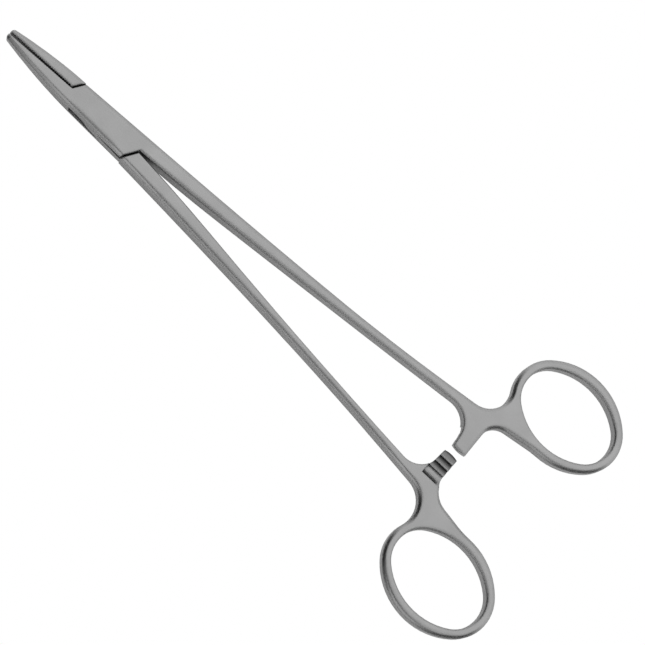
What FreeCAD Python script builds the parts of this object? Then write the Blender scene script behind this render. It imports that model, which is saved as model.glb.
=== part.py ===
import FreeCAD, Part
import math
import os
import Sketcher

# Surgical needle holder with a box lock: two forged halves that cross in the lock, and the
# pivot pin. X runs from the jaw tips (negative) to the finger rings (positive), Y across the
# instrument and Z up. The pivot axis is at X = 0, Y = 0, and the box lies on Z = 0.
# Each half is drawn about its own middle plane and from its own side: "v" is the distance from
# the middle line towards the side on which the half has its ring, so that both halves share
# one description.

DRIVING = (
    # jaws
    ("jaw_reach", 34.6, "pivot to the jaw tips"),
    ("jaw_tip_width", 1.35, "width of one jaw at its tip"),
    ("jaw_tip_thickness", 3.0, "thickness of a jaw at its tip"),
    ("jaw_tip_radius", 1.0, "rounding of the outer corner of a jaw tip, seen from above"),
    ("jaw_gap_tip", 0.45, "open gap between the jaws at the tips"),
    ("jaw_gap_root", 0.2, "open gap between the jaws beside the lock"),
    ("jaw_line_root", 0.4, "height of the jaw line above the middle line beside the lock"),
    ("groove_pitch", 0.7, "pitch of the grooves across the gripping faces"),
    ("groove_width", 0.5, "width of a groove"),
    ("groove_depth", 0.3, "depth of a groove"),
    ("groove_start", 0.9, "jaw tip to the first groove"),
    ("jaw_taper_x", 11.6, "pivot to where the jaws begin to get thinner"),
    ("jaw_taper_blend", 7.0, "half length of the curve at that place"),
    # box lock
    ("box_thickness", 6.0, "thickness of the lock"),
    ("seam_front_in", 12.1, "front seam, distance from the pivot at the jaw line"),
    ("seam_front_out", 10.1, "front seam, distance from the pivot at the flank"),
    ("seam_rear_in", 12.4, "rear seam, distance from the pivot at the crotch"),
    ("seam_rear_out", 9.7, "rear seam, distance from the pivot at the flank"),
    ("slot_front_out", 9.3, "front end of the slot at the flank"),
    ("slot_rear_out", 9.6, "rear end of the slot at the flank"),
    ("flank_front_ring_side", 3.79, "half width of the box half in front, on its ring side"),
    ("flank_front_jaw_side", 3.9, "half width of the box half in front, on its jaw side"),
    ("flank_rear_ring_side", 4.62, "half width of the box half behind, on its ring side"),
    ("flank_rear_jaw_side", 4.34, "half width of the box half behind, on its jaw side"),
    ("tongue_relief_front", 2.95, "half width of the tongue's relieved front end, on its ring side"),
    ("tongue_relief_x", 2.6, "how far in front of the pivot that relief ends"),
    ("tongue_ring_side", 3.95, "half width of the tongue where the relief ends, on its ring side"),
    ("tongue_front_jaw_side", 3.95, "half width of the tongue in front, on its jaw side"),
    ("tongue_rear_jaw_side", 4.35, "half width of the tongue behind, on its jaw side"),
    ("tongue_thickness", 2.6, "thickness of the tongue that runs through the box"),
    ("slot_clearance", 0.05, "running clearance above and below the tongue"),
    ("seam_gap", 0.5, "gap along X between the shoulders and the ends of the lock"),
    ("pin_diameter", 2.8, "pivot pin, pressed into the box half and ground flush"),
    ("pin_clearance", 0.03, "running clearance round the pin in the tongue"),
    # shanks
    ("crotch_rise_box", 0.58, "inner edge of the box half's shank at the rear seam"),
    ("crotch_rise_tongue", 0.05, "inner edge of the other shank at the rear seam"),
    ("shank_inner_bend_x", 40.0, "where the inner edge of a shank changes its bow"),
    ("shank_inner_bend_v", 2.4, "distance of that point from the middle line"),
    ("shank_inner_bow", 517.0, "bow radius of the inner edge beside the lock"),
    ("shank_outer_bend_x", 80.0, "where the outer edge of a shank changes its bow"),
    ("shank_outer_bend_v", 9.22, "distance of that point from the middle line"),
    ("shank_outer_bow", 3000.0, "bow radius of the outer edge beside the lock"),
    ("shank_end_before", 14.3, "end of the bowed outer edge, in front of the ratchet"),
    ("lock_blend", 4.0, "half length of the curve where the shanks begin to get thinner"),
    ("shank_taper_x", 70.0, "where the shanks have got as thin as the rings"),
    ("shank_taper_blend", 16.0, "half length of the curve at that place"),
    ("shank_thickness", 3.9, "thickness of the shanks, ratchet arms and finger rings"),
    # ratchet arms, webs and finger rings
    ("ratchet_x", 128.3, "pivot to the middle of the ratchet arms"),
    ("web_run_behind", 3.75, "where the web's inner edge has run into the ring, behind its centre"),
    ("ring_hole_length", 29.4, "finger hole, long way"),
    ("ring_hole_width", 21.34, "finger hole, short way"),
    ("ring_end_radius", 8.6, "finger hole, radius of its two narrow ends"),
    ("ring_band_end", 2.5, "ring band at the ends of the hole"),
    ("ring_band_side", 2.95, "ring band beside the hole"),
    ("ratchet_cut_length", 6.6, "how far the ratchet's profile is cut along X"),
    ("arm_lead_height", 0.05, "height of the arm's tip over its middle plane"),
    ("arm_land", 1.83, "plain tip of a ratchet arm before its first tooth"),
    ("tooth_pitch", 2.0, "pitch of the ratchet teeth"),
    ("tooth_count", 3, "ratchet teeth on each arm"),
    ("tooth_height", 0.7, "height of the ratchet teeth"),
    ("tooth_crest", 0.28, "flat crest of a tooth"),
    ("arm_recess", 3.6, "length of the cleared root behind the last tooth"),
    ("arm_recess_radius", 3.5, "concave curve at the end of the cleared root"),
    ("arm_tip_bow", 7.0, "bow of the end of a ratchet arm, seen from above"),
    # long edges of both faces: a bevel runs in across the face and down the wall
    ("jaw_bevel_in", 0.92, "bevel of the outer jaw edges and of the flank behind them, across"),
    ("jaw_bevel_down", 0.66, "bevel of the outer jaw edges and of the flank behind them, down"),
    ("outer_bevel_in", 0.85, "bevel of the outer shank edges and round the finger rings, across"),
    ("outer_bevel_down", 0.65, "bevel of the outer shank edges and round the finger rings, down"),
    ("hole_bevel_in", 0.42, "bevel of the finger holes, across"),
    ("hole_bevel_down", 0.52, "bevel of the finger holes, down"),
    ("seam_bevel_in", 0.22, "bevel of the gripping edges and seams, across"),
    ("seam_bevel_down", 0.22, "bevel of the gripping edges and seams, down"),
    ("inner_bevel_in", 0.3, "bevel of the inner shank edges and ratchet arms, across"),
    ("inner_bevel_down", 0.42, "bevel of the inner shank edges and ratchet arms, down"),
)

# What differs between the two halves behind the lock: name, box half, tongue half.
EACH_HALF = (
    ("shank_end_inside", 2.80, 1.88, "end of the bowed outer edge, inside the ring's near side"),
    ("arm_root_front", 3.3, 2.9, "front edge of the arm at the shank, in front of the ratchet"),
    ("arm_root_inside", 4.53, 3.61, "inner edge of the shank at the arm, inside the ring's near side"),
    ("arm_tip_front", 1.9, 2.4, "front corner of the arm's tip, in front of the ratchet"),
    ("arm_tip_back", 2.5, 1.9, "back corner of the arm's tip, behind the ratchet"),
    ("arm_tip_v", 1.45, 0.75, "distance of the arm's tip from the middle line"),
    ("web_back", 1.9, 2.2, "back edge of the arm where it meets the web, behind the ratchet"),
    ("web_back_inside", 2.28, 2.13, "web's corner behind the arm, inside the ring's near side"),
    ("web_run_depth", 0.67, 1.12, "how deep the web's inner edge ends within the ring"),
    ("run_out_before", 2.75, 3.25, "end of the shank's outer edge, in front of the ring's centre"),
    ("run_out_depth", 0.89, 1.51, "how deep the shank's outer edge ends within the ring"),
    ("ring_behind", 15.95, 18.95, "centre of the finger ring, behind the ratchet"),
    ("ring_near_v", 15.58, 14.33, "distance of the ring's near side from the middle line"),
    ("ring_turn", -2.2, 4.9, "turn of the ring's long axis, in degrees"),
    ("outer_web_radius", 6.6, 7.5, "concave curve between shank and ring"),
    ("inner_web_radius", 7.0, 6.5, "concave curve between shank and arm"),
    ("back_web_radius", 5.0, 7.0, "concave curve between arm and ring"),
    ("run_in_radius", 25.0, 25.0, "smoothing where the web's edge runs into the ring"),
)

BEYOND = "(2 * Sheet.box_thickness)"  # how far a cutting outline reaches past the metal
JAW_LINE_BOX = "(Sheet.jaw_line_root - Sheet.jaw_gap_root / 2)"
JAW_LINE_TONGUE = "(Sheet.jaw_line_root + Sheet.jaw_gap_root / 2)"
JAW_TIP_RADIUS = "min(Sheet.jaw_tip_radius; 0.9 * Sheet.jaw_tip_width)"
RING_LENGTH = "(Sheet.ring_hole_length + 2 * Sheet.ring_band_end)"
RING_WIDTH = "(Sheet.ring_hole_width + 2 * Sheet.ring_band_side)"
HOLE_END_RADIUS = "min(Sheet.ring_end_radius; 0.46 * Sheet.ring_hole_width)"
RING_END_RADIUS = "(%s + Sheet.ring_band_end)" % HOLE_END_RADIUS
UPRIGHT = 1e-4  # how far a wall's corner may lean and still count as upright


def make_sheet(doc):
    sheet = doc.addObject("Spreadsheet::Sheet", "Sheet")
    rows = [(alias, value, words) for alias, value, words in DRIVING]
    for alias, box_value, tongue_value, words in EACH_HALF:
        rows.append(("box_" + alias, box_value, words + ", box half"))
        rows.append(("tongue_" + alias, tongue_value, words + ", tongue half"))
    for row, (alias, value, words) in enumerate(rows, start=1):
        sheet.set("A%d" % row, words)
        sheet.set("B%d" % row, repr(value))
        sheet.setAlias("B%d" % row, alias)
    doc.recompute()
    return sheet


def vector(x, y, z=0.0):
    return FreeCAD.Vector(x, y, z)


def origin_plane(body, role):
    return [part for part in body.Origin.OriginFeatures if part.Role == role][0]


def new_sketch(body, name, role="XY_Plane"):
    sketch = body.newObject("Sketcher::SketchObject", name)
    sketch.AttachmentSupport = [(origin_plane(body, role), "")]
    sketch.MapMode = "FlatFace"
    return sketch


def lock_point(sketch, geometry, end, point, x, y):
    """Bind one end of a sketch's edge to two expressions, measured from the origin."""
    for kind, value, expression in (("DistanceX", point.x, x), ("DistanceY", point.y, y)):
        place = sketch.addConstraint(Sketcher.Constraint(kind, -1, 1, geometry, end, value))
        sketch.setExpression("Constraints[%d]" % place, expression)


def signed_angle(first, second):
    return math.atan2(first.x * second.y - first.y * second.x, first.x * second.x + first.y * second.y)


def rotated(direction, angle):
    cosine, sine = math.cos(angle), math.sin(angle)
    return vector(direction.x * cosine - direction.y * sine, direction.x * sine + direction.y * cosine)


def arc_between(start, end, radius):
    """Arc from start to end, and whether it runs backwards. A positive radius turns left."""
    chord = end - start
    left = vector(-chord.y, chord.x).normalize()
    rise = math.sqrt(radius * radius - chord.Length ** 2 / 4.0)
    centre = (start + end) * 0.5 + left * math.copysign(rise, radius)
    circle = Part.Circle(centre, vector(0, 0, 1), abs(radius))
    first = math.atan2(start.y - centre.y, start.x - centre.x)
    last = math.atan2(end.y - centre.y, end.x - centre.x)
    turn = (last - first) % (2 * math.pi)
    if turn <= math.pi:
        return Part.ArcOfCircle(circle, first, first + turn), False
    return Part.ArcOfCircle(circle, last, last + 2 * math.pi - turn), True


class Outline:
    """Closed outline of lines and arcs whose corners are bound to the sheet.

    Each corner is a pair of expressions. The edge that starts at a corner is a line unless
    bend says otherwise: ("left", expression) and ("right", expression) are arcs of that radius
    that turn left or right, and ("smooth", neighbour) is an arc that is tangent to the
    neighbouring edge, -1 before it or 1 after it."""

    def __init__(self, body, name, role="XY_Plane"):
        self.sketch = new_sketch(body, name, role)
        self.corners = []
        self.bends = []
        self.points = []

    def corner(self, x, y, bend=None):
        self.corners.append((x, y))
        self.bends.append(bend)
        self.points.append(vector(self.number(x), self.number(y)))

    def number(self, expression):
        return float(self.sketch.evalExpression(expression))

    def chord(self, index):
        return self.points[(index + 1) % len(self.points)] - self.points[index % len(self.points)]

    def half_turn(self, index):
        """Half of the angle that an edge turns through, positive to the left."""
        bend = self.bends[index % len(self.bends)]
        if bend is None:
            return 0.0
        if bend[0] == "smooth":
            beside = index + bend[1]
            joint = rotated(self.chord(beside), -bend[1] * self.half_turn(beside))
            return -bend[1] * signed_angle(joint, self.chord(index))
        turn = math.asin(self.chord(index).Length / (2 * self.number(bend[1])))
        return turn if bend[0] == "left" else -turn

    def finish(self):
        sketch = self.sketch
        count = len(self.points)
        backwards = []
        for index, start in enumerate(self.points):
            end = self.points[(index + 1) % count]
            if self.bends[index] is None:
                sketch.addGeometry(Part.LineSegment(start, end), False)
                backwards.append(False)
            else:
                radius = self.chord(index).Length / (2 * math.sin(self.half_turn(index)))
                arc, reverse = arc_between(start, end, radius)
                sketch.addGeometry(arc, False)
                backwards.append(reverse)
        for index, (x, y) in enumerate(self.corners):
            after = (index + 1) % count
            first_end = 2 if backwards[index] else 1
            last_end = 3 - first_end
            next_end = 2 if backwards[after] else 1
            smooth = self.bends[index] == ("smooth", 1) or self.bends[after] == ("smooth", -1)
            joint = "Tangent" if smooth else "Coincident"
            sketch.addConstraint(Sketcher.Constraint(joint, index, last_end, after, next_end))
            lock_point(sketch, index, first_end, self.points[index], x, y)
            bend = self.bends[index]
            if bend is not None and bend[0] != "smooth":
                place = sketch.addConstraint(Sketcher.Constraint("Radius", index, self.number(bend[1])))
                sketch.setExpression("Constraints[%d]" % place, bend[1])
        return sketch


def upright_edges(shape):
    """Index, X and Y of every upright straight edge."""
    found = []
    for index, edge in enumerate(shape.Edges, start=1):
        low, high = edge.Vertexes[0].Point, edge.Vertexes[-1].Point
        if math.hypot(high.x - low.x, high.y - low.y) < UPRIGHT < abs(high.z - low.z):
            found.append((index, low.x, low.y))
    return found


def lies_on(point, start, end):
    """Whether a point is on the straight line between two corners, seen from above."""
    run = vector(end.x - start.x, end.y - start.y)
    rise = vector(point.x - start.x, point.y - start.y)
    along = rise.dot(run) / run.Length
    off = math.sqrt(max(rise.Length ** 2 - along ** 2, 0.0))
    return off < 0.01 and -0.01 < along < run.Length + 0.01


def on_the_way(near, far, distance):
    """Expressions of the point at a distance from near towards far."""
    run, rise = ("(%s - (%s))" % (far[axis], near[axis]) for axis in (0, 1))
    share = "%s / sqrt(%s^2 + %s^2)" % (distance, run, rise)
    return "%s + %s * %s" % (near[0], run, share), "%s + %s * %s" % (near[1], rise, share)


class Half:
    """One forged half of the instrument, drawn from the side on which it has its ring."""

    def __init__(self, doc, name, prefix, side):
        self.doc = doc
        self.name = name
        self.prefix = prefix
        self.side = side
        self.body = doc.addObject("PartDesign::Body", name)
        self.body.Label = name
        self.body.setExpression(".Placement.Base.z", "Sheet.box_thickness / 2")
        self.ring_x = "(Sheet.ratchet_x + %s)" % self.own("ring_behind")
        self.ring_v = "(%s + %s / 2)" % (self.own("ring_near_v"), RING_WIDTH)

    def own(self, alias):
        return "Sheet.%s_%s" % (self.prefix, alias)

    def number(self, expression):
        return float(self.body.evalExpression(expression))

    def across(self, v):
        return v if self.side > 0 else "-(%s)" % v

    def inside(self, alias):
        return "%s - %s" % (self.own("ring_near_v"), self.own(alias))

    def behind(self, alias, sign="+"):
        return "Sheet.ratchet_x %s %s" % (sign, self.own(alias))

    def turning(self, alias, left):
        """Arc whose turn is given as seen from the ring's side."""
        return ("left" if left == (self.side > 0) else "right", "Sheet." + alias)

    def start_outline(self):
        self.outline = Outline(self.body, self.name + "_outline")
        self.spots = {}

    def corner(self, x, v, bend=None, name=None):
        self.outline.corner(x, self.across(v), bend)
        if name:
            self.spots[name] = vector(self.number(x), self.number(v))

    def shank_corners(self):
        """Outer edge from the lock to the ring, the web, the arm and the inner edge back."""
        self.corner("Sheet.shank_outer_bend_x", "Sheet.shank_outer_bend_v", ("smooth", -1))
        self.corner("Sheet.ratchet_x - Sheet.shank_end_before", self.inside("shank_end_inside"),
                    name="outer end")
        self.corner("%s - %s" % (self.ring_x, self.own("run_out_before")),
                    "%s + %s" % (self.own("ring_near_v"), self.own("run_out_depth")))
        self.corner("%s + Sheet.web_run_behind" % self.ring_x,
                    "%s + %s" % (self.own("ring_near_v"), self.own("web_run_depth")))
        self.corner(self.behind("web_back"), self.inside("web_back_inside"))
        self.corner(self.behind("arm_tip_back"), self.own("arm_tip_v"), self.turning("arm_tip_bow", False))
        self.corner(self.behind("arm_tip_front", "-"), self.own("arm_tip_v"), name="arm tip")
        self.corner(self.behind("arm_root_front", "-"), self.inside("arm_root_inside"), ("smooth", 1),
                    "arm root")
        self.corner("Sheet.shank_inner_bend_x", "Sheet.shank_inner_bend_v",
                    self.turning("shank_inner_bow", False))

    def pad(self, sketch, name):
        pad = self.body.newObject("PartDesign::Pad", name)
        pad.Profile = sketch
        pad.Midplane = True
        pad.setExpression("Length", "Sheet.box_thickness")
        self.doc.recompute()
        return pad

    def oval(self, name, length, width, end_radius):
        """Outline of four smooth arcs about the ring's centre, in line with the ring."""
        reach, rise = "(%s / 2 - %s)" % (length, end_radius), "(%s / 2)" % width
        side_radius = "((%s^2 + %s^2 - %s^2) / (2 * (%s - %s)))" % (reach, rise, end_radius, rise, end_radius)
        joint_along = "(%s * %s / (%s - %s))" % (side_radius, reach, side_radius, end_radius)
        joint_across = "(%s * (%s - %s) / (%s - %s))" % (end_radius, side_radius, rise, side_radius, end_radius)
        turn = "%s * 1 deg" % self.own("ring_turn")
        outline = Outline(self.body, name)
        way = "left" if self.side > 0 else "right"
        for along, across, radius in ((1, -1, end_radius), (1, 1, side_radius),
                                      (-1, 1, end_radius), (-1, -1, side_radius)):
            step_x, step_v = "%d * %s" % (along, joint_along), "%d * %s" % (across, joint_across)
            outline.corner("%s + %s * cos(%s) - %s * sin(%s)" % (self.ring_x, step_x, turn, step_v, turn),
                           self.across("%s + %s * sin(%s) + %s * cos(%s)"
                                       % (self.ring_v, step_x, turn, step_v, turn)),
                           (way, radius))
        return outline.finish()

    def round_corner(self, base, index, radius, name):
        fillet = self.body.newObject("PartDesign::Fillet", name)
        fillet.Base = (base, ["Edge%d" % index])
        fillet.setExpression("Radius", radius)
        self.doc.recompute()
        return fillet

    def upright_near(self, shape, x, v):
        spot = vector(self.number(x), self.number(self.across(v)))
        return min(upright_edges(shape), key=lambda edge: math.hypot(edge[1] - spot.x, edge[2] - spot.y))[0]

    def ring_corners(self, shape):
        """Upright edges where the shank's outline meets the ring, nearest the middle first."""
        ring = self.ring_outline.Shape
        found = []
        for index, x, y in upright_edges(shape):
            corner = vector(x, y)
            on_ring = ring.distToShape(Part.Vertex(corner))[0] < 1e-3
            joints = min((vertex.Point - corner).Length for vertex in ring.Vertexes)
            if on_ring and joints > 0.1:
                found.append((abs(y), index))
        return [index for distance, index in sorted(found)]

    def thickness_profile(self, name, below):
        """Cut one face down from the lock's thickness to that of the jaws, shanks and rings."""
        level = (lambda height: "-(%s)" % height) if below else (lambda height: height)
        taper = ("(Sheet.box_thickness - Sheet.jaw_tip_thickness) / 2"
                 " / (Sheet.jaw_reach - Sheet.jaw_taper_x)")
        knees = (
            ("-(Sheet.jaw_reach + Sheet.box_thickness)",
             "Sheet.jaw_tip_thickness / 2 - Sheet.box_thickness * %s" % taper, None),
            ("-Sheet.jaw_taper_x", "Sheet.box_thickness / 2", "Sheet.jaw_taper_blend"),
            ("Sheet.seam_rear_in", "Sheet.box_thickness / 2", "Sheet.lock_blend"),
            ("Sheet.shank_taper_x", "Sheet.shank_thickness / 2", "Sheet.shank_taper_blend"),
            ("%s + %s" % (self.ring_x, RING_LENGTH), "Sheet.shank_thickness / 2", None),
        )
        outline = Outline(self.body, name + "_outline", "XZ_Plane")
        for before, knee, after in zip((None,) + knees, knees, knees[1:] + (None,)):
            if knee[2] is None:
                outline.corner(knee[0], level(knee[1]))
                continue
            x, height = on_the_way(knee, before, knee[2])
            outline.corner(x, level(height), ("smooth", -1))
            x, height = on_the_way(knee, after, knee[2])
            outline.corner(x, level(height))
        outline.corner(knees[-1][0], level("Sheet.box_thickness"))
        outline.corner(knees[0][0], level("Sheet.box_thickness"))
        pocket(self.body, name, outline.finish())

    def forge(self):
        """The half as it is forged: its outline, its thickness and its finger hole."""
        blank = self.pad(self.outline.finish(), self.name + "_blank")
        self.ring_outline = self.oval(self.name + "_ring_outline", RING_LENGTH, RING_WIDTH, RING_END_RADIUS)
        ring = self.pad(self.ring_outline, self.name + "_ring")
        jaw_corner = self.upright_near(
            ring.Shape, "-Sheet.jaw_reach", "-(Sheet.jaw_gap_tip / 2 + Sheet.jaw_tip_width)")
        shape = self.round_corner(ring, jaw_corner, JAW_TIP_RADIUS, self.name + "_jaw_tip")
        root = self.upright_near(shape.Shape, self.behind("arm_root_front", "-"),
                                 self.inside("arm_root_inside"))
        shape = self.round_corner(shape, root, self.own("inner_web_radius"), self.name + "_inner_web")
        back = self.upright_near(shape.Shape, self.behind("web_back"), self.inside("web_back_inside"))
        shape = self.round_corner(shape, back, self.own("back_web_radius"), self.name + "_back_web")
        run_in = self.ring_corners(shape.Shape)[0]
        shape = self.round_corner(shape, run_in, self.own("run_in_radius"), self.name + "_run_in")
        outer = self.ring_corners(shape.Shape)[-1]
        shape = self.round_corner(shape, outer, self.own("outer_web_radius"), self.name + "_outer_web")
        self.thickness_profile(self.name + "_upper_face", False)
        self.thickness_profile(self.name + "_lower_face", True)
        hole = self.oval(self.name + "_finger_hole_outline", "Sheet.ring_hole_length",
                         "Sheet.ring_hole_width", HOLE_END_RADIUS)
        self.hole_outline = hole
        return pocket(self.body, self.name + "_finger_hole", hole)

    def mark(self, seams, plain):
        """Name the outline's edges that are seams or grip, and those that stay sharp."""
        points = self.outline.points
        self.seams, self.plain = ([(points[index], points[(index + 1) % len(points)]) for index in group]
                                  for group in (seams, plain))

    def run_of(self, edge, place):
        """Run to which a long edge belongs; edges down at the tongue and the ends stay plain."""
        first, last = edge.Vertexes[0].Point, edge.Vertexes[-1].Point
        if abs(place.z) < self.number("Sheet.tongue_thickness / 2") + 0.01:
            return "plain"
        for name, lines in (("seam", self.seams), ("plain", self.plain)):
            if any(lies_on(first, *line) and lies_on(last, *line) for line in lines):
                return name
        if self.hole_outline.Shape.distToShape(Part.Vertex(vector(place.x, place.y)))[0] < 1e-3:
            return "hole"
        if self.side * place.y < 0:
            return "jaw"
        crotch, arm_tip = self.spots["crotch"], self.spots["arm tip"]
        near = (self.spots["flank"].y + crotch.y) / 2
        far = (self.spots["outer end"].y + self.spots["arm root"].y) / 2
        share = (place.x - crotch.x) / (arm_tip.x - crotch.x)
        inner = 0 < share < 1 and self.side * place.y < near + (far - near) * share
        return "inner" if inner else "outer"

    def rims_of(self, run):
        """Sharp edges of a run, and whether a level face comes first of the two at each."""
        shape = self.body.Tip.Shape
        found = []
        for index, edge in enumerate(shape.Edges, start=1):
            middle = edge.valueAt((edge.FirstParameter + edge.LastParameter) / 2)
            tilts = face_tilts(shape, edge, middle)
            if len(tilts) == 2 and min(tilts) < 0.1 and max(tilts) > 0.9 and self.run_of(edge, middle) == run:
                found.append(("Edge%d" % index, tilts[0] > tilts[1]))
        return found

    def bevel(self, run):
        """Bevel one run of long edges on both faces, with its own reach across and down."""
        reach = "Sheet.%s_bevel_in" % run
        if run == "jaw":
            reach = "min(%s; 0.93 * %s)" % (reach, JAW_TIP_RADIUS)
        for level_first in (True, False):
            names = [name for name, level in self.rims_of(run) if level == level_first]
            if not names:
                continue
            base = self.body.Tip
            chamfer = self.body.newObject("PartDesign::Chamfer", "%s_%s_bevel" % (self.name, run))
            chamfer.Base = (base, names)
            chamfer.ChamferType = "Two distances"
            chamfer.FlipDirection = not level_first
            chamfer.setExpression("Size", reach)
            chamfer.setExpression("Size2", "Sheet.%s_bevel_down" % run)
            self.doc.recompute()


def face_tilts(shape, edge, middle):
    """How level each face beside an edge is there: 0 for an upright wall, 1 for a level face."""
    tilts = []
    for face in shape.ancestorsOfType(edge, Part.Face):
        u, v = face.Surface.parameter(middle)
        tilts.append(abs(face.normalAt(u, v).z))
    return tilts


def line_at(first, second, y):
    """Point at a given Y on the line through two points, as expressions."""
    run = "((%s) - (%s))" % (second[0], first[0])
    rise = "((%s) - (%s))" % (second[1], first[1])
    return "%s + %s * ((%s) - (%s)) / %s" % (first[0], run, y, first[1], rise), y


def polygon(body, name, corners, role="XY_Plane"):
    outline = Outline(body, name, role)
    for x, y in corners:
        outline.corner(x, y)
    return outline.finish()


def pocket(body, name, sketch, length=None):
    """Cut a sketch right through, or by a length about its own plane."""
    before = body.Shape.Volume
    feature = body.newObject("PartDesign::Pocket", name)
    feature.Profile = sketch
    feature.Midplane = True
    if length is None:
        feature.Type = "ThroughAll"
    else:
        feature.setExpression("Length", length)
    body.Document.recompute()
    require_cut(body, name, before)
    return feature


def require_cut(body, name, before):
    if not body.Shape.Volume < before - 1e-6:
        raise RuntimeError("%s cuts nothing" % name)


def cut_slot(body):
    """The slot in the box half through which the tongue passes from flank to flank."""
    front_in = ("-Sheet.seam_front_in", JAW_LINE_BOX)
    front_out = ("-Sheet.slot_front_out", "-Sheet.flank_front_jaw_side")
    rear_in = ("Sheet.seam_rear_in", "Sheet.crotch_rise_box")
    rear_out = ("Sheet.slot_rear_out", "Sheet.flank_rear_ring_side")
    sketch = polygon(body, "slot_outline", (
        (front_in[0], BEYOND),
        front_in,
        line_at(front_in, front_out, "-%s" % BEYOND),
        (rear_in[0], "-%s" % BEYOND),
        rear_in,
        line_at(rear_in, rear_out, BEYOND),
    ))
    pocket(body, "slot", sketch, "Sheet.tongue_thickness + 2 * Sheet.slot_clearance")


def cut_shoulders(half, body):
    """Thin the other half down to its tongue, with a shoulder in front and one behind."""
    front_in = ("-(Sheet.seam_front_in + Sheet.seam_gap)", JAW_LINE_BOX)
    front_out = ("-(Sheet.seam_front_out + Sheet.seam_gap)", "Sheet.flank_front_ring_side")
    rear_in = ("Sheet.seam_rear_in + Sheet.seam_gap", "Sheet.crotch_rise_box")
    rear_out = ("Sheet.seam_rear_out + Sheet.seam_gap", "-Sheet.flank_rear_jaw_side")
    corners = (
        line_at(front_in, front_out, BEYOND),
        front_in,
        (front_in[0], "-%s" % BEYOND),
        line_at(rear_in, rear_out, "-%s" % BEYOND),
        rear_in,
        (rear_in[0], BEYOND),
    )
    spots = [vector(half.number(x), half.number(y)) for x, y in corners]
    half.seams += [(spots[0], spots[1]), (spots[3], spots[4])]
    for name, sign, upward in (("upper_shoulders", "", True), ("lower_shoulders", "-", False)):
        sketch = polygon(body, name + "_outline", corners)
        sketch.setExpression("AttachmentOffset.Base.z", sign + "Sheet.tongue_thickness / 2")
        before = body.Shape.Volume
        feature = body.newObject("PartDesign::Pocket", name)
        feature.Profile = sketch
        feature.Reversed = upward
        feature.setExpression("Length", BEYOND)
        body.Document.recompute()
        require_cut(body, name, before)


def bore_for_pin(body, diameter):
    sketch = new_sketch(body, "pin_bore_outline")
    radius = float(body.evalExpression("(%s) / 2" % diameter))
    sketch.addGeometry(Part.Circle(vector(0, 0), vector(0, 0, 1), radius), False)
    sketch.addConstraint(Sketcher.Constraint("Coincident", 0, 3, -1, 1))
    place = sketch.addConstraint(Sketcher.Constraint("Diameter", 0, 2 * radius))
    sketch.setExpression("Constraints[%d]" % place, diameter)
    pocket(body, "pin_bore", sketch)


def cut_ratchet(half, body, teeth_down):
    """Saw teeth across the arm: plain tip, steep faces that hold, and a cleared root."""
    level = (lambda height: "-(%s)" % height) if teeth_down else (lambda height: height)
    tip = half.own("arm_tip_v")
    lead_run = "(Sheet.arm_land - Sheet.tooth_crest)"
    outline = Outline(body, "ratchet_outline", "YZ_Plane")

    def corner(v, height, bend=None):
        outline.corner(half.across(v), level(height), bend)

    corner("%s - %s" % (tip, lead_run), "2 * Sheet.arm_lead_height - Sheet.tooth_height / 2")
    for tooth in range(int(half.number("Sheet.tooth_count"))):
        face = "%s + Sheet.arm_land + %d * Sheet.tooth_pitch" % (tip, tooth)
        corner("%s - Sheet.tooth_crest" % face, "Sheet.tooth_height / 2")
        corner(face, "Sheet.tooth_height / 2")
        corner(face, "-Sheet.tooth_height / 2")
    root = "%s + Sheet.arm_recess" % face
    corner("%s - Sheet.arm_recess_radius" % root, "-Sheet.tooth_height / 2", ("smooth", -1))
    corner(root, "Sheet.arm_recess_radius - Sheet.tooth_height / 2")
    corner(root, BEYOND)
    corner("%s - %s" % (tip, lead_run), BEYOND)
    sketch = outline.finish()
    sketch.setExpression("AttachmentOffset.Base.z", "Sheet.ratchet_x")
    pocket(body, "ratchet", sketch, "Sheet.ratchet_cut_length")


def cut_grooves(half, body, line, metal):
    """Vee grooves across the gripping face, evenly spaced from the tip to the lock."""
    (tip_x, tip_y), (root_x, root_y) = line
    run, rise = "(%s - (%s))" % (root_x, tip_x), "(%s - (%s))" % (root_y, tip_y)
    start_x, start_y = on_the_way(line[0], line[1], "Sheet.groove_start")
    outline = Outline(body, "groove_outline")
    outline.corner("-Sheet.groove_width", "%d * Sheet.groove_depth" % -metal)
    outline.corner("0", "%d * Sheet.groove_depth" % metal)
    outline.corner("Sheet.groove_width", "%d * Sheet.groove_depth" % -metal)
    sketch = outline.finish()
    sketch.setExpression("AttachmentOffset.Base.x", start_x)
    sketch.setExpression("AttachmentOffset.Base.y", start_y)
    sketch.setExpression("AttachmentOffset.Rotation.Angle", "atan(%s / %s)" % (rise, run))
    groove = pocket(body, "groove", sketch)
    count = "floor((%s - 2 * Sheet.groove_start) / Sheet.groove_pitch)" % run
    pattern = body.newObject("PartDesign::LinearPattern", "grooves")
    pattern.Originals = [groove]
    pattern.Direction = (sketch, ["H_Axis"])
    pattern.setExpression("Occurrences", "%s + 1" % count)
    pattern.setExpression("Length", "%s * Sheet.groove_pitch" % count)
    body.Tip = pattern
    body.Document.recompute()


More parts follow.
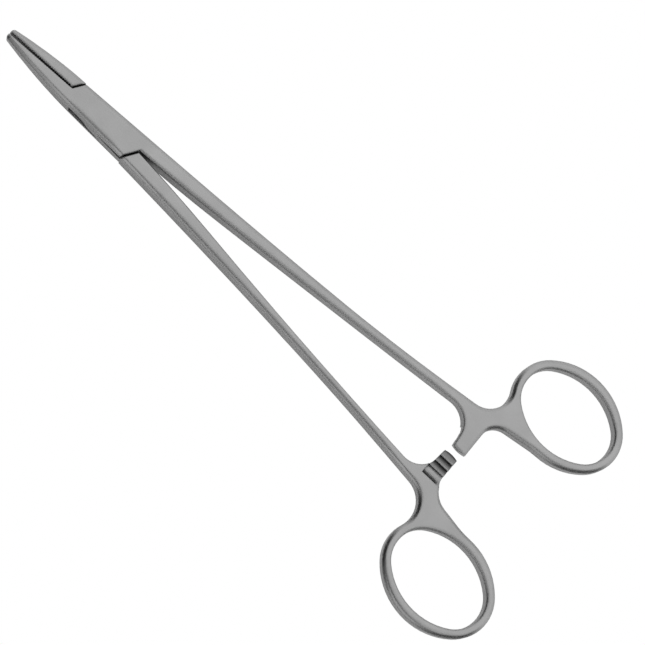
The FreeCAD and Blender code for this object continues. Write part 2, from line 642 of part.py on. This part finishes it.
def make_box_half(doc):
    half = Half(doc, "box_half", "box", 1)
    half.start_outline()
    half.corner("-Sheet.jaw_reach", "-Sheet.jaw_gap_tip / 2")
    half.corner("-Sheet.seam_front_in", JAW_LINE_BOX)
    half.corner("-Sheet.seam_front_out", "Sheet.flank_front_ring_side",
                half.turning("shank_outer_bow", True), "flank")
    half.shank_corners()
    half.corner("Sheet.seam_rear_in", "Sheet.crotch_rise_box", name="crotch")
    half.corner("Sheet.seam_rear_out", "-Sheet.flank_rear_jaw_side")
    half.corner("-Sheet.slot_front_out", "-Sheet.flank_front_jaw_side", ("smooth", -1))
    half.corner("-Sheet.jaw_reach", "-(Sheet.jaw_gap_tip / 2 + Sheet.jaw_tip_width)")
    gripping, front_seam, arm_tip, rear_seam, jaw_tip = 0, 1, 8, 12, 15
    half.mark((gripping, front_seam, rear_seam), (arm_tip, jaw_tip))
    half.forge()
    body = half.body
    for run in ("hole", "jaw", "outer", "inner", "seam"):
        half.bevel(run)
    cut_slot(body)
    bore_for_pin(body, "Sheet.pin_diameter")
    cut_ratchet(half, body, True)
    cut_grooves(half, body, (("-Sheet.jaw_reach", "-Sheet.jaw_gap_tip / 2"),
                             ("-Sheet.seam_front_in", JAW_LINE_BOX)), -1)
    return body


def make_tongue_half(doc):
    half = Half(doc, "tongue_half", "tongue", -1)
    half.start_outline()
    half.corner("-Sheet.jaw_reach", "-Sheet.jaw_gap_tip / 2")
    half.corner("-(Sheet.seam_front_in - Sheet.seam_gap)", "-" + JAW_LINE_TONGUE)
    half.corner("-(Sheet.slot_front_out - Sheet.seam_gap)", "Sheet.tongue_relief_front")
    half.corner("-Sheet.tongue_relief_x", "Sheet.tongue_ring_side", half.turning("shank_outer_bow", True),
                "flank")
    half.shank_corners()
    half.corner("Sheet.seam_rear_in + Sheet.seam_gap", "-Sheet.crotch_rise_tongue", name="crotch")
    half.corner("Sheet.seam_rear_in - Sheet.seam_gap",
                "-(Sheet.crotch_rise_box + Sheet.crotch_rise_tongue) / 2")
    half.corner("Sheet.slot_rear_out - Sheet.seam_gap", "-Sheet.tongue_rear_jaw_side")
    half.corner("-(Sheet.seam_front_out + Sheet.seam_gap)", "-Sheet.tongue_front_jaw_side",
                ("smooth", -1))
    half.corner("-Sheet.jaw_reach", "-(Sheet.jaw_gap_tip / 2 + Sheet.jaw_tip_width)")
    gripping, tongue_front, relief, arm_tip, crotch, tongue_rear, jaw_tip = 0, 1, 2, 9, 13, 14, 17
    half.mark((gripping,), (tongue_front, relief, arm_tip, crotch, tongue_rear, jaw_tip))
    half.forge()
    body = half.body
    for run in ("hole", "jaw", "outer", "inner"):
        half.bevel(run)
    cut_shoulders(half, body)
    half.bevel("seam")
    bore_for_pin(body, "Sheet.pin_diameter + 2 * Sheet.pin_clearance")
    cut_ratchet(half, body, False)
    cut_grooves(half, body, (("-Sheet.jaw_reach", "Sheet.jaw_gap_tip / 2"),
                             ("-Sheet.seam_front_in", JAW_LINE_TONGUE)), 1)
    return body


def make_pivot_pin(doc):
    pin = doc.addObject("Part::Cylinder", "pivot_pin")
    pin.Label = "pivot_pin"
    pin.setExpression("Radius", "Sheet.pin_diameter / 2")
    pin.setExpression("Height", "Sheet.box_thickness")
    doc.recompute()
    return pin


def check_document(doc, parts):
    for thing in doc.Objects:
        if "Invalid" in thing.State or "Error" in thing.State:
            raise RuntimeError("%s did not come out: %s" % (thing.Name, thing.State))
    for part in parts:
        if part.Shape.isNull() or not part.Shape.isValid() or len(part.Shape.Solids) != 1:
            raise RuntimeError("%s is not one valid solid" % part.Label)


def main():
    doc = FreeCAD.newDocument("needle_holder")
    make_sheet(doc)
    parts = [make_box_half(doc), make_tongue_half(doc), make_pivot_pin(doc)]
    check_document(doc, parts)
    os.makedirs("parts", exist_ok=True)
    for part in parts:
        part.Shape.exportStep("parts/%s.step" % part.Label)
        print(part.Label, round(part.Shape.Volume, 1), "mm3")


main()
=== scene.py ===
import math

import bpy
from mathutils import Matrix, Vector

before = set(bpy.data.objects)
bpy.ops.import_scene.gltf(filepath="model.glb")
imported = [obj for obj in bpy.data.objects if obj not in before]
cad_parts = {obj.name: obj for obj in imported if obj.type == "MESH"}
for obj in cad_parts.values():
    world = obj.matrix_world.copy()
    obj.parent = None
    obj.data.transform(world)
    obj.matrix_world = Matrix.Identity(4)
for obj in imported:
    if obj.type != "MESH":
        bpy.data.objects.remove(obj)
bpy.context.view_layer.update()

MM = 0.001
NODE_SPACING = 200  # between the nodes of a tree, where someone opens it in the node editor

# The camera looks down at the instrument, tilted a little, with the jaws at the upper left.
CAMERA_TARGET = Vector((78.84, 1.55, 3.0)) * MM
CAMERA_DISTANCE = 600 * MM
CAMERA_TILT = math.radians(16)
CAMERA_ROLL = math.radians(43.431)
CAMERA_LENS = 125.6
CAMERA_NEAREST = 10 * MM
SENSOR_WIDTH = 36.0

FLOOR_SIZE = 6.0
FLOOR_COLOUR = (0.90, 0.90, 0.90, 1)
FLOOR_GLOW = 0.16
SEEN_COLOUR = (1.0, 1.0, 1.0, 1)  # the floor and what is behind it, as the camera sees them

# Soft overhead light by height over the horizon: (sine of the height, strength).
SKY_STOPS = ((0.0, 0.9), (0.3, 0.9), (0.6, 0.92), (0.85, 1.0), (1.0, 1.0))
SKY_STRENGTH = 0.70
# Dark places in the light: direction, how many times flatter than wide, and
# (cosine of the angle to it, share of the light left).
DARK_PLACES = (
    (Vector((-0.90, -0.37, 0.15)), 1.0, ((0.60, 1.0), (0.87, 0.03))),  # low beyond the jaws
    (Vector((0.00, -1.00, 0.00)), 5.0, ((0.36, 1.0), (0.60, 0.02))),  # on the horizon in front
    (Vector((0.75, -0.50, 0.25)), 1.5, ((0.75, 1.0), (0.92, 0.05))),  # low beyond the rings
    (Vector((0.00, -0.28, 0.96)), 1.0, ((0.90, 1.0), (0.965, 0.0))),  # round the camera
    (Vector((-0.60, -0.05, 0.78)), 1.0, ((0.92, 1.0), (0.97, 0.1))),  # high over the jaws
)

STEEL_TONES = ((0.3, 0.4902), (0.7, 0.627))  # (noise, grey)
STEEL_ROUGHNESS = (0.17, 0.28)
NOISE_RANGE = (0.3, 0.7)  # where nearly all of the noise lies
GRAIN_SIZE = 0.16 * MM
STREAK_LENGTH = 14.0  # times the size of the grain
STREAK_DETAIL = 2.0
SPECK_DETAIL = 1.0
SPECK_SHARE = 0.55  # of the grain; the rest is streaks
TONE_SIZE = 9 * MM
TONE_DETAIL = 2.0
TONE_SHARE = 0.4  # of the slow change of tone; the rest is grain
GRAIN_HEIGHT = 0.02 * MM
GRAIN_STRENGTH = 0.12  # of the grain as a relief

# How far the polish has softened the edges: (place along the instrument, radius).
EDGE_SOFTNESS = ((-40 * MM, 0.45 * MM), (-15 * MM, 0.35 * MM), (-11 * MM, 0.35 * MM),
                 (-7 * MM, 0.7 * MM), (5 * MM, 0.7 * MM), (9 * MM, 0.35 * MM), (14 * MM, 0.35 * MM),
                 (26 * MM, 0.7 * MM), (112 * MM, 0.7 * MM), (120 * MM, 0.35 * MM),
                 (126 * MM, 0.55 * MM), (170 * MM, 0.55 * MM))
# The pin is ground flush, so nothing is softened within the first distance from its axis,
# and all is beyond the second.
PIN_EDGE = (1.8 * MM, 2.6 * MM)
CROWN_WIDTH = 2.6  # times the radius of the softened edges
CROWN_SHARE = 0.8  # what the crown adds to the softened edges' 1

# Painted shade on the ratchet teeth, darker towards their feet: (height over the middle plane, share
# of the polish's tone).
# Height counts towards the side that the face looks to.
MIDDLE_PLANE = 3 * MM
TOOTH_SHADE_TONES = ((-0.40 * MM, 0.26), (0.04 * MM, 0.30), (0.12 * MM, 0.5), (0.28 * MM, 0.6),
               (0.34 * MM, 1.0), (0.40 * MM, 1.0))
TOOTH_ROWS = (-6.6 * MM, 7.3 * MM)  # where the rows of teeth end on either side of the middle line
LEVEL_FACE = 0.5  # least upright part of a level face's normal

# Painted shade in crevices: the metal's colour is darkened where little open air is near.
CREVICE_SIZE = 1.2 * MM
CREVICE_PAINTED_SHADE = 0.05  # share of the metal's tone that is left in the deepest ones
CREVICE_OPENNESS = (0.3, 0.8)  # share of open air in the deepest and at their edge
CREVICE_SAMPLES = 8

NUMBER_RESULTS = ("DOT_PRODUCT", "LENGTH")  # vector operations that give a number


def empty_tree(owner):
    owner.use_nodes = True
    owner.node_tree.nodes.clear()
    return owner.node_tree


def node(tree, kind, **inputs):
    made = tree.nodes.new(kind)
    made.location.x = NODE_SPACING * len(tree.nodes)
    for name, value in inputs.items():
        made.inputs[name.replace("_", " ")].default_value = value
    return made


def feed(tree, socket, value):
    """A socket takes what another node gives, or a fixed value."""
    if isinstance(value, bpy.types.NodeSocket):
        tree.links.new(value, socket)
    else:
        socket.default_value = value


def number_math(tree, operation, *values):
    made = node(tree, "ShaderNodeMath")
    made.operation = operation
    for socket, value in zip(made.inputs, values):
        feed(tree, socket, value)
    return made.outputs[0]


def vector_math(tree, operation, *values):
    made = node(tree, "ShaderNodeVectorMath")
    made.operation = operation
    for socket, value in zip(made.inputs, values):
        feed(tree, socket, value)
    return made.outputs["Value" if operation in NUMBER_RESULTS else "Vector"]


def split(tree, vector):
    parts = node(tree, "ShaderNodeSeparateXYZ")
    tree.links.new(vector, parts.inputs[0])
    return parts.outputs


def mix(tree, share, first, second):
    made = node(tree, "ShaderNodeMix")
    feed(tree, made.inputs["Factor"], share)
    feed(tree, made.inputs["A"], first)
    feed(tree, made.inputs["B"], second)
    return made.outputs["Result"]


def map_range(tree, value, given, wanted=(0.0, 1.0)):
    """Carry a value from one range to another, and hold it at the ends."""
    made = node(tree, "ShaderNodeMapRange", From_Min=given[0], From_Max=given[1],
                To_Min=wanted[0], To_Max=wanted[1])
    tree.links.new(value, made.inputs["Value"])
    return made.outputs[0]


def grey_ramp(tree, value, stops):
    """Grey that follows a value through (value, grey) stops."""
    low, high = stops[0][0], stops[-1][0]
    ramp = node(tree, "ShaderNodeValToRGB")
    elements = ramp.color_ramp.elements
    while len(elements) < len(stops):
        elements.new(1.0)  # its place is set below
    for element, (stop, grey) in zip(elements, stops):
        element.position = (stop - low) / (high - low)
        element.color = (grey, grey, grey, 1)
    tree.links.new(map_range(tree, value, (low, high)), ramp.inputs[0])
    return ramp.outputs[0]


def noise(tree, place, size, detail):
    made = node(tree, "ShaderNodeTexNoise", Scale=1 / size, Detail=detail)
    tree.links.new(place, made.inputs["Vector"])
    return made.outputs[0]


def show_to_camera(tree, lighting, seen, output):
    """One shader lights the part and the other is what the camera sees directly."""
    rays = node(tree, "ShaderNodeLightPath")
    either = node(tree, "ShaderNodeMixShader")
    tree.links.new(rays.outputs["Is Camera Ray"], either.inputs[0])
    tree.links.new(lighting.outputs[0], either.inputs[1])
    tree.links.new(seen.outputs[0], either.inputs[2])
    tree.links.new(either.outputs[0], output.inputs[0])


def set_camera():
    data = bpy.data.cameras.new("camera")
    camera = bpy.data.objects.new("camera", data)
    bpy.context.scene.collection.objects.link(camera)
    along = Vector((1, 0, 0))
    across = Vector((0, math.cos(CAMERA_TILT), math.sin(CAMERA_TILT)))
    back = along.cross(across)
    turn, lift = math.cos(CAMERA_ROLL), math.sin(CAMERA_ROLL)
    right = along * turn + across * lift
    up = across * turn - along * lift
    axes = Matrix((right, up, back)).transposed().to_4x4()
    camera.matrix_world = Matrix.Translation(CAMERA_TARGET + back * CAMERA_DISTANCE) @ axes
    data.sensor_width = SENSOR_WIDTH
    data.lens = CAMERA_LENS
    data.clip_start = CAMERA_NEAREST
    bpy.context.scene.camera = camera


def make_floor():
    mesh = bpy.data.meshes.new("floor")
    half = FLOOR_SIZE / 2
    corners = [(-half, -half, 0), (half, -half, 0), (half, half, 0), (-half, half, 0)]
    mesh.from_pydata(corners, [], [(0, 1, 2, 3)])
    floor = bpy.data.objects.new("floor", mesh)
    bpy.context.scene.collection.objects.link(floor)
    material = bpy.data.materials.new("floor")
    tree = empty_tree(material)
    plain = node(tree, "ShaderNodeBsdfDiffuse", Color=FLOOR_COLOUR)
    glow = node(tree, "ShaderNodeEmission", Strength=FLOOR_GLOW)
    lit = node(tree, "ShaderNodeAddShader")
    tree.links.new(plain.outputs[0], lit.inputs[0])
    tree.links.new(glow.outputs[0], lit.inputs[1])
    seen = node(tree, "ShaderNodeEmission", Color=SEEN_COLOUR)
    output = node(tree, "ShaderNodeOutputMaterial")
    show_to_camera(tree, lit, seen, output)
    mesh.materials.append(material)


def light_sky():
    """Soft light from above, a little weaker near the horizon, with dark places in it."""
    world = bpy.data.worlds.new("studio")
    bpy.context.scene.world = world
    tree = empty_tree(world)
    direction = node(tree, "ShaderNodeTexCoord").outputs["Generated"]
    light = grey_ramp(tree, split(tree, direction)["Z"], SKY_STOPS)
    for middle, flatness, stops in DARK_PLACES:
        flatten = Vector((1, 1, flatness))
        even = vector_math(tree, "NORMALIZE", vector_math(tree, "MULTIPLY", direction, flatten))
        nearness = vector_math(tree, "DOT_PRODUCT", even, (middle * flatten).normalized())
        light = vector_math(tree, "MULTIPLY", light, grey_ramp(tree, nearness, stops))
    glow = node(tree, "ShaderNodeBackground", Strength=SKY_STRENGTH)
    tree.links.new(light, glow.inputs["Color"])
    seen = node(tree, "ShaderNodeBackground", Color=SEEN_COLOUR)
    output = node(tree, "ShaderNodeOutputWorld")
    show_to_camera(tree, glow, seen, output)


def edge_softness(tree, place):
    """Radius of the softened edges along the instrument, and none around the pin."""
    widest = max(radius for along, radius in EDGE_SOFTNESS)
    stops = [(along, radius / widest) for along, radius in EDGE_SOFTNESS]
    share = grey_ramp(tree, split(tree, place)["X"], stops)
    level = vector_math(tree, "MULTIPLY", place, Vector((1, 1, 0)))
    from_axis = vector_math(tree, "LENGTH", level)
    return number_math(tree, "MULTIPLY", share, map_range(tree, from_axis, PIN_EDGE, (0.0, widest)))


def rounded_normal(tree, radius):
    made = node(tree, "ShaderNodeBevel")
    tree.links.new(radius, made.inputs["Radius"])
    return made.outputs[0]


def worn_normal(tree, place):
    """Normal of faces whose edges are softened and whose whole width is slightly crowned."""
    radius = edge_softness(tree, place)
    soft = rounded_normal(tree, radius)
    wide = rounded_normal(tree, number_math(tree, "MULTIPLY", radius, CROWN_WIDTH))
    crown = vector_math(tree, "MULTIPLY", wide, Vector((CROWN_SHARE, CROWN_SHARE, CROWN_SHARE)))
    return vector_math(tree, "NORMALIZE", vector_math(tree, "ADD", soft, crown))


def painted_crevice_shade(tree):
    """Painted shade: share of the metal's tone that is left where little open air is near, in
    crevices and between parts.
    """
    openness = node(tree, "ShaderNodeAmbientOcclusion", Distance=CREVICE_SIZE)
    openness.samples = CREVICE_SAMPLES
    return map_range(tree, openness.outputs["AO"], CREVICE_OPENNESS, (CREVICE_PAINTED_SHADE, 1.0))


def painted_tooth_shade(tree, place):
    """Painted shade on the ratchet teeth: share of the tone on the level faces of their rows near the
    middle plane, darker towards the feet.
    """
    spot = split(tree, place)
    faces = node(tree, "ShaderNodeNewGeometry")
    upright = split(tree, faces.outputs["True Normal"])["Z"]
    height = number_math(tree, "SUBTRACT", spot["Z"], MIDDLE_PLANE)
    over = number_math(tree, "MULTIPLY", height, number_math(tree, "SIGN", upright))
    tone = grey_ramp(tree, over, TOOTH_SHADE_TONES)
    level = number_math(tree, "GREATER_THAN", number_math(tree, "ABSOLUTE", upright), LEVEL_FACE)
    near = number_math(tree, "LESS_THAN", number_math(tree, "ABSOLUTE", height), TOOTH_SHADE_TONES[-1][0])
    low, high = TOOTH_ROWS
    beside = number_math(tree, "ABSOLUTE", number_math(tree, "SUBTRACT", spot["Y"], (low + high) / 2))
    in_rows = number_math(tree, "LESS_THAN", beside, (high - low) / 2)
    on_teeth = number_math(tree, "MULTIPLY", level, number_math(tree, "MULTIPLY", near, in_rows))
    # painted shade on the teeth, and none elsewhere
    return mix(tree, on_teeth, 1.0, tone)


def steel_tone(tree, place, grain):
    """Grey of the metal: polish over a slow change of tone, with painted shade in crevices and on the
    ratchet teeth.
    """
    slow = noise(tree, place, TONE_SIZE, TONE_DETAIL)
    polish = grey_ramp(tree, mix(tree, TONE_SHARE, grain, slow), STEEL_TONES)
    # painted shade: darker in crevices and on the ratchet teeth
    shaded = vector_math(tree, "MULTIPLY", polish, painted_crevice_shade(tree))
    return vector_math(tree, "MULTIPLY", shaded, painted_tooth_shade(tree, place))


def satin_steel(name):
    """Satin steel: a fine grain of specks and of streaks that run along the instrument."""
    material = bpy.data.materials.new(name)
    tree = empty_tree(material)
    links = tree.links
    place = node(tree, "ShaderNodeTexCoord").outputs["Object"]
    stretch = node(tree, "ShaderNodeMapping", Scale=(1 / STREAK_LENGTH, 1, 1))
    links.new(place, stretch.inputs["Vector"])
    streaks = noise(tree, stretch.outputs[0], GRAIN_SIZE, STREAK_DETAIL)
    specks = noise(tree, place, GRAIN_SIZE, SPECK_DETAIL)
    grain = mix(tree, SPECK_SHARE, streaks, specks)
    bump = node(tree, "ShaderNodeBump", Strength=GRAIN_STRENGTH, Distance=GRAIN_HEIGHT)
    links.new(grain, bump.inputs["Height"])
    links.new(worn_normal(tree, place), bump.inputs["Normal"])
    shader = node(tree, "ShaderNodeBsdfPrincipled", Metallic=1.0)
    links.new(steel_tone(tree, place, grain), shader.inputs["Base Color"])
    links.new(map_range(tree, grain, NOISE_RANGE, STEEL_ROUGHNESS), shader.inputs["Roughness"])
    links.new(bump.outputs[0], shader.inputs["Normal"])
    output = node(tree, "ShaderNodeOutputMaterial")
    links.new(shader.outputs[0], output.inputs[0])
    return material


def dress(piece, material):
    piece.data.materials.clear()
    piece.data.materials.append(material)


bpy.context.scene.view_settings.view_transform = "Standard"
set_camera()
make_floor()
light_sky()
steel = satin_steel("satin_steel")
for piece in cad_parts.values():
    dress(piece, steel)
